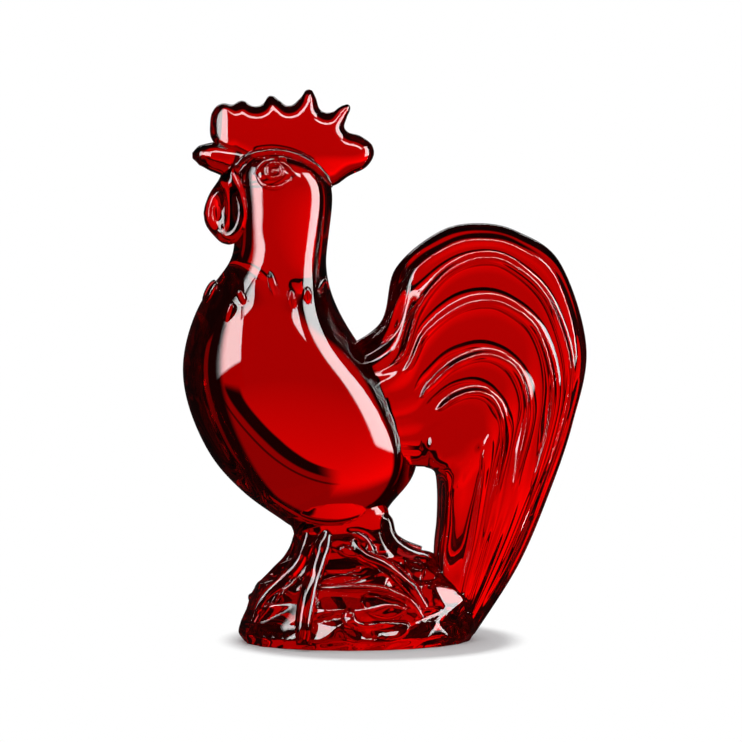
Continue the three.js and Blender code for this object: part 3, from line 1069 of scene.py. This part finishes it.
# An arched edge on the right side of the wall. Its reach narrows sideways and upwards, and
# along it run a broad dark band and a thin dark line.
ARCH_ASIDE = 2
ARCH_UPWARDS = 6.7
ARCH_STARTS = (-0.06, 0.06)
ARCH_FOOT = (-0.04, 0.02)
ARCH_EDGE = (0.84, 0.92)
ARCH_BAND_END = (1.24, 1.34)
ARCH_BAND_STARTS = (0, 0.1)
ARCH_LINE = (1.52, 1.56, 1.62, 1.68)
ARCH_LINE_STRENGTH = 0.8
WALL_TOP = (0.2, 0.4)
# Where the wall is lit: ahead, at two corners, far out at the sides, and on the table below
LIT_HEIGHTS = (-0.74, -0.58, 0.7, 0.85)
LIT_AHEAD = (0.62, 0.74)
LIT_CORNERS = (1.1, 1.2, 1.5, 1.6)
LIT_SIDES = (3, 4)
LIT_SIDES_TOP = (0.6, 0.9)
LIT_SIDES_LEVEL = 1.1
LIT_TABLE = (-0.95, -0.88)
LIT_TABLE_LEVEL = 0.8
# Light that has been mirrored inside the crystal has met its surface more often than this
STRAIGHT_PASSES = 3.5
SMALLEST = 0.001

# Where the floor's shadow gives way to the white background, in metres from its middle
FLOOR_MIDDLE = (-4, 0, 0)
FLOOR_FADE = (0.042, 0.052)

# Softboxes: the angles of their edges from the camera's side in degrees, the height of their
# foot, the share of their width that fades in, and how much the foot rises over the width
SOFTBOX_DISTANCE = 1.1
SOFTBOX_HEIGHT = 1.2
SOFTBOXES = (
    ("softbox_left", -38, -70, -0.11, 0.5, 0.3),
    ("softbox_right", 54, 78, 0.005, 0.15, 0),
)
# Strips overhead: the side that they stand on and their share of the softboxes' brightness
STRIPS = (("striplight_front", -1, 1), ("striplight_rear", 1, 0.35))
STRIP_PLACE = (0.75, 0.95)
STRIP_SIZE = (1.5, 0.2)
STRIP_TURN = -40
STRIP_FADE = 0.1
FOOT_FADE = 0.05

CAMERA_AZIMUTH = -6
CAMERA_ELEVATION = 4
CAMERA_DISTANCE = 1.3
CAMERA_TARGET = (-4.4, 0, 88.5)
SENSOR_WIDTH = 36
PHOTO_WIDTH = 742
MM_PER_PIXEL = 0.327


def connect(tree, value, socket):
    """Sets a socket to a number, or links another node's output to it."""
    if isinstance(value, (int, float)):
        socket.default_value = value
    else:
        tree.links.new(value, socket)


def calculate(tree, operation, *values):
    """A Math node. Each value is a number or another node's output."""
    node = tree.nodes.new("ShaderNodeMath")
    node.operation = operation
    for socket, value in zip(node.inputs, values, strict=False):
        connect(tree, value, socket)
    return node.outputs[0]


def product(tree, first, *others):
    for value in others:
        first = calculate(tree, "MULTIPLY", first, value)
    return first


def size_of(tree, value):
    """A value without its sign, kept off zero."""
    return calculate(tree, "MAXIMUM", calculate(tree, "ABSOLUTE", value), SMALLEST)


def choose(tree, switch, off, on):
    """The value off where the switch is 0, and on where it is 1."""
    node = tree.nodes.new("ShaderNodeMix")
    tree.links.new(switch, node.inputs["Factor"])
    connect(tree, off, node.inputs[2])
    connect(tree, on, node.inputs[3])
    return node.outputs[0]


def mix_shaders(tree, share, first, second):
    node = tree.nodes.new("ShaderNodeMixShader")
    tree.links.new(share, node.inputs[0])
    tree.links.new(first, node.inputs[1])
    tree.links.new(second, node.inputs[2])
    return node.outputs[0]


def ramp(tree, value, limits, at_low, at_high):
    """A soft step from one value to another while the input runs between the limits."""
    node = tree.nodes.new("ShaderNodeMapRange")
    node.interpolation_type = "SMOOTHSTEP"
    node.inputs["From Min"].default_value = limits[0]
    node.inputs["From Max"].default_value = limits[1]
    node.inputs["To Min"].default_value = at_low
    node.inputs["To Max"].default_value = at_high
    tree.links.new(value, node.inputs["Value"])
    return node.outputs["Result"]


def band(tree, value, limits, level=1):
    """A soft step up to a level and down again. The limits: start, full, full, end."""
    return product(
        tree, ramp(tree, value, limits[:2], 0, level), ramp(tree, value, limits[2:], 1, 0)
    )


class ROOSTER_OT_studio(bpy.types.Operator):
    """Set up the floor, the background, the light and the camera"""

    bl_idname = "rooster.studio"
    bl_label = "Studio"

    def execute(self, context):
        look = context.scene.studio_look
        scene = context.scene
        scene.view_settings.view_transform = "Standard"
        self.floor(look)
        self.surround(scene, look)
        self.softboxes(look)
        self.camera(scene)
        return {"FINISHED"}

    def floor(self, look):
        """A round table that takes the shadow and fades into the white background. Light that
        has met the crystal passes through it to the surround's own table."""
        deselect()
        bpy.ops.mesh.primitive_circle_add(
            vertices=96, radius=look.table_radius, fill_type="NGON", location=(0, 0, 0)
        )
        floor = settle(bpy.context.object, "floor")
        material = bpy.data.materials.new("floor")
        material.use_nodes = True
        tree = material.node_tree
        shader = tree.nodes["Principled BSDF"]
        shader.inputs["Base Color"].default_value = (*look.floor_colour, 1)
        shader.inputs["Roughness"].default_value = 0.5
        coordinates = tree.nodes.new("ShaderNodeTexCoord")
        distance = tree.nodes.new("ShaderNodeVectorMath")
        distance.operation = "DISTANCE"
        tree.links.new(coordinates.outputs["Object"], distance.inputs[0])
        distance.inputs[1].default_value = mm(*FLOOR_MIDDLE)
        fade = ramp(tree, distance.outputs["Value"], FLOOR_FADE, 0, 1)
        path = tree.nodes.new("ShaderNodeLightPath")
        seen = product(tree, fade, path.outputs["Is Camera Ray"])
        white = tree.nodes.new("ShaderNodeEmission")
        plain = mix_shaders(tree, seen, shader.outputs[0], white.outputs[0])
        clear = tree.nodes.new("ShaderNodeBsdfTransparent")
        mirrored = calculate(
            tree, "MAXIMUM", path.outputs["Is Glossy Ray"], path.outputs["Is Transmission Ray"]
        )
        surface = mix_shaders(tree, mirrored, plain, clear.outputs[0])
        tree.links.new(surface, tree.nodes["Material Output"].inputs["Surface"])
        floor.data.materials.append(material)

    def surround(self, scene, look):
        """White to the camera. Light that leaves the crystal sees a pale wall in front of it and
        behind it, a pale table straight below, and darkness round them."""
        world = bpy.data.worlds.new("studio")
        scene.world = world
        world.use_nodes = True
        tree = world.node_tree
        background = tree.nodes["Background"]
        coordinates = tree.nodes.new("ShaderNodeTexCoord")
        direction = tree.nodes.new("ShaderNodeSeparateXYZ")
        tree.links.new(coordinates.outputs["Generated"], direction.inputs["Vector"])
        wall = product(tree, self.wall(tree, look, direction), self.lit(tree, look, direction))
        path = tree.nodes.new("ShaderNodeLightPath")
        straight = calculate(tree, "LESS_THAN", path.outputs["Ray Depth"], STRAIGHT_PASSES)
        wall_level = choose(tree, straight, look.wall_mirrored, look.wall)
        seen_wall = calculate(tree, "MULTIPLY_ADD", wall, wall_level, look.dark)
        level = choose(tree, path.outputs["Is Glossy Ray"], look.fill, look.dark)
        level = choose(tree, path.outputs["Is Transmission Ray"], level, seen_wall)
        level = choose(tree, path.outputs["Is Camera Ray"], level, 1)
        tree.links.new(level, background.inputs["Strength"])
        background.inputs["Color"].default_value = (1, 1, 1, 1)

    def wall(self, tree, look, direction):
        """The wall's own brightness, with a dimmer panel above its arched edge on the right."""
        x, y, z = (direction.outputs[axis] for axis in "XYZ")
        slant = calculate(tree, "DIVIDE", x, y)
        upwards = calculate(tree, "DIVIDE", z, size_of(tree, y))
        shade = calculate(tree, "MULTIPLY_ADD", slant, WALL_GAIN_RIGHT, WALL_LEVEL)
        shade = calculate(tree, "MULTIPLY_ADD", upwards, WALL_GAIN_UP, shade)
        shade = calculate(tree, "MAXIMUM", shade, WALL_LIMITS[0])
        shade = calculate(tree, "MINIMUM", shade, WALL_LIMITS[1])
        aside = calculate(tree, "ABSOLUTE", slant)
        above_level = calculate(tree, "MAXIMUM", upwards, 0)
        squares = [
            calculate(tree, "POWER", product(tree, part, gain), 2)
            for part, gain in ((aside, ARCH_ASIDE), (above_level, ARCH_UPWARDS))
        ]
        arch = calculate(tree, "SQRT", calculate(tree, "ADD", *squares))
        right = product(
            tree,
            ramp(tree, slant, ARCH_STARTS, 0, 1),
            ramp(tree, upwards, ARCH_FOOT, 0, 1),
        )
        above = product(tree, right, ramp(tree, arch, ARCH_EDGE, 0, 1))
        dark_band = product(
            tree,
            above,
            ramp(tree, arch, ARCH_BAND_END, 1, 0),
            ramp(tree, slant, ARCH_BAND_STARTS, 0, 1),
        )
        line = product(tree, band(tree, arch, ARCH_LINE, ARCH_LINE_STRENGTH), right)
        covered = calculate(tree, "MAXIMUM", dark_band, line)
        above = calculate(tree, "MAXIMUM", above, ramp(tree, upwards, WALL_TOP, 0, 1))
        wall = choose(tree, above, shade, look.window)
        return product(tree, wall, calculate(tree, "SUBTRACT", 1, covered))

    def lit(self, tree, look, direction):
        """How much of the wall is lit in a direction."""
        x, y, z = (direction.outputs[axis] for axis in "XYZ")
        aside = calculate(tree, "ABSOLUTE", calculate(tree, "DIVIDE", x, y))
        upwards = calculate(tree, "DIVIDE", z, size_of(tree, y))
        ahead = ramp(tree, aside, LIT_AHEAD, 1, 0)
        ahead = calculate(tree, "ADD", ahead, band(tree, aside, LIT_CORNERS, look.window))
        ahead = product(tree, ahead, band(tree, upwards, LIT_HEIGHTS))
        rise = calculate(tree, "ABSOLUTE", calculate(tree, "DIVIDE", z, size_of(tree, x)))
        sides = product(
            tree,
            ramp(tree, aside, LIT_SIDES, 0, LIT_SIDES_LEVEL),
            ramp(tree, rise, LIT_SIDES_TOP, 1, 0),
        )
        table = ramp(tree, z, LIT_TABLE, LIT_TABLE_LEVEL, 0)
        return calculate(tree, "ADD", calculate(tree, "ADD", ahead, sides), table)

    def softboxes(self, look):
        """Two tall panels at the camera's left and right, and two narrow strips overhead."""
        for name, near, far, foot, fade, rise in SOFTBOXES:
            angle = math.radians((near + far) / 2)
            half_angle = math.radians(abs(far - near) / 2)
            place = (
                math.sin(angle) * SOFTBOX_DISTANCE,
                -math.cos(angle) * SOFTBOX_DISTANCE,
                foot + SOFTBOX_HEIGHT / 2,
            )
            turn = (math.radians(90), 0, angle)
            size = (2 * SOFTBOX_DISTANCE * math.tan(half_angle), SOFTBOX_HEIGHT)
            self.panel(look, name, place, turn, size, fade, rise)
        for name, side, gain in STRIPS:
            place = (0, side * STRIP_PLACE[0], STRIP_PLACE[1])
            turn = (side * math.radians(STRIP_TURN), 0, 0)
            self.panel(look, name, place, turn, STRIP_SIZE, STRIP_FADE, gain=gain)

    def panel(self, look, name, place, turn, size, fade, rise=0, gain=1):
        """A glowing panel that fades in over a share of its width and above its rising foot. It
        is bright where the crystal mirrors it and plain to all else."""
        deselect()
        bpy.ops.mesh.primitive_plane_add(size=1, location=place, rotation=turn)
        panel = bpy.context.object
        panel.scale = (*size, 1)
        settle(panel, name)
        material = bpy.data.materials.new(name)
        material.use_nodes = True
        tree = material.node_tree
        tree.nodes.remove(tree.nodes["Principled BSDF"])
        glow = tree.nodes.new("ShaderNodeEmission")
        path = tree.nodes.new("ShaderNodeLightPath")
        strength = choose(tree, path.outputs["Is Glossy Ray"], 1, look.softbox * gain)
        through = path.outputs["Is Transmission Ray"]
        strength = choose(tree, through, strength, look.softbox_through)
        spot = tree.nodes.new("ShaderNodeSeparateXYZ")
        tree.links.new(tree.nodes.new("ShaderNodeUVMap").outputs["UV"], spot.inputs[0])
        across, height = spot.outputs[0], spot.outputs[1]
        above_foot = calculate(tree, "MULTIPLY_ADD", across, -rise, height)
        strength = product(
            tree,
            strength,
            ramp(tree, across, (0, fade), 0, 1),
            ramp(tree, above_foot, (0, FOOT_FADE), 0, 1),
        )
        glow.inputs["Color"].default_value = (1, 1, 1, 1)
        tree.links.new(strength, glow.inputs["Strength"])
        tree.links.new(glow.outputs[0], tree.nodes["Material Output"].inputs["Surface"])
        panel.data.materials.append(material)
        panel.visible_camera = False
        panel.visible_shadow = False

    def camera(self, scene):
        """The photograph's view: slightly from above and from the front."""
        azimuth, elevation = math.radians(CAMERA_AZIMUTH), math.radians(CAMERA_ELEVATION)
        back = Vector(
            (
                math.sin(azimuth) * math.cos(elevation),
                -math.cos(azimuth) * math.cos(elevation),
                math.sin(elevation),
            )
        )
        deselect()
        bpy.ops.object.camera_add(location=Vector(mm(*CAMERA_TARGET)) + back * CAMERA_DISTANCE)
        camera = bpy.context.object
        camera.rotation_euler = back.to_track_quat("Z", "Y").to_euler()
        camera.data.sensor_width = SENSOR_WIDTH
        camera.data.lens = SENSOR_WIDTH * CAMERA_DISTANCE / (PHOTO_WIDTH * MM_PER_PIXEL * MM)
        camera.data.clip_end = 50
        scene.camera = camera


# The add-on


class VIEW3D_PT_rooster(bpy.types.Panel):
    """Lists the forms of the rooster and its finish"""

    bl_label = "Crystal Rooster"
    bl_space_type = "VIEW_3D"
    bl_region_type = "UI"
    bl_category = "Rooster"

    def draw(self, context):
        scene = context.scene
        for group in (scene.rooster_sizes, scene.crystal_look, scene.studio_look):
            for key in group.bl_rna.properties.keys():
                if key not in ("rna_type", "name"):
                    self.layout.prop(group, key)
        for operator in OPERATORS:
            self.layout.operator(operator.bl_idname)


GROUPS = (RoosterSizes, CrystalLook, StudioLook)
OPERATORS = (
    ROOSTER_OT_trunk,
    ROOSTER_OT_comb,
    ROOSTER_OT_beak,
    ROOSTER_OT_wattles,
    ROOSTER_OT_eyes,
    ROOSTER_OT_hackle,
    ROOSTER_OT_tail,
    ROOSTER_OT_legs,
    ROOSTER_OT_rock,
    ROOSTER_OT_toes,
    ROOSTER_OT_casting,
    ROOSTER_OT_studio,
)


def register():
    for cls in (*GROUPS, *OPERATORS, VIEW3D_PT_rooster):
        bpy.utils.register_class(cls)
    bpy.types.Scene.rooster_sizes = bpy.props.PointerProperty(type=RoosterSizes)
    bpy.types.Scene.crystal_look = bpy.props.PointerProperty(type=CrystalLook)
    bpy.types.Scene.studio_look = bpy.props.PointerProperty(type=StudioLook)


def unregister():
    del bpy.types.Scene.studio_look
    del bpy.types.Scene.crystal_look
    del bpy.types.Scene.rooster_sizes
    for cls in reversed((*GROUPS, *OPERATORS, VIEW3D_PT_rooster)):
        bpy.utils.unregister_class(cls)


def main():
    register()
    for step in (
        bpy.ops.rooster.trunk,
        bpy.ops.rooster.comb,
        bpy.ops.rooster.beak,
        bpy.ops.rooster.wattles,
        bpy.ops.rooster.eyes,
        bpy.ops.rooster.hackle,
        bpy.ops.rooster.tail,
        bpy.ops.rooster.legs,
        bpy.ops.rooster.rock,
        bpy.ops.rooster.toes,
        bpy.ops.rooster.casting,
        bpy.ops.rooster.studio,
    ):
        step()


if __name__ == "__main__":
    main()
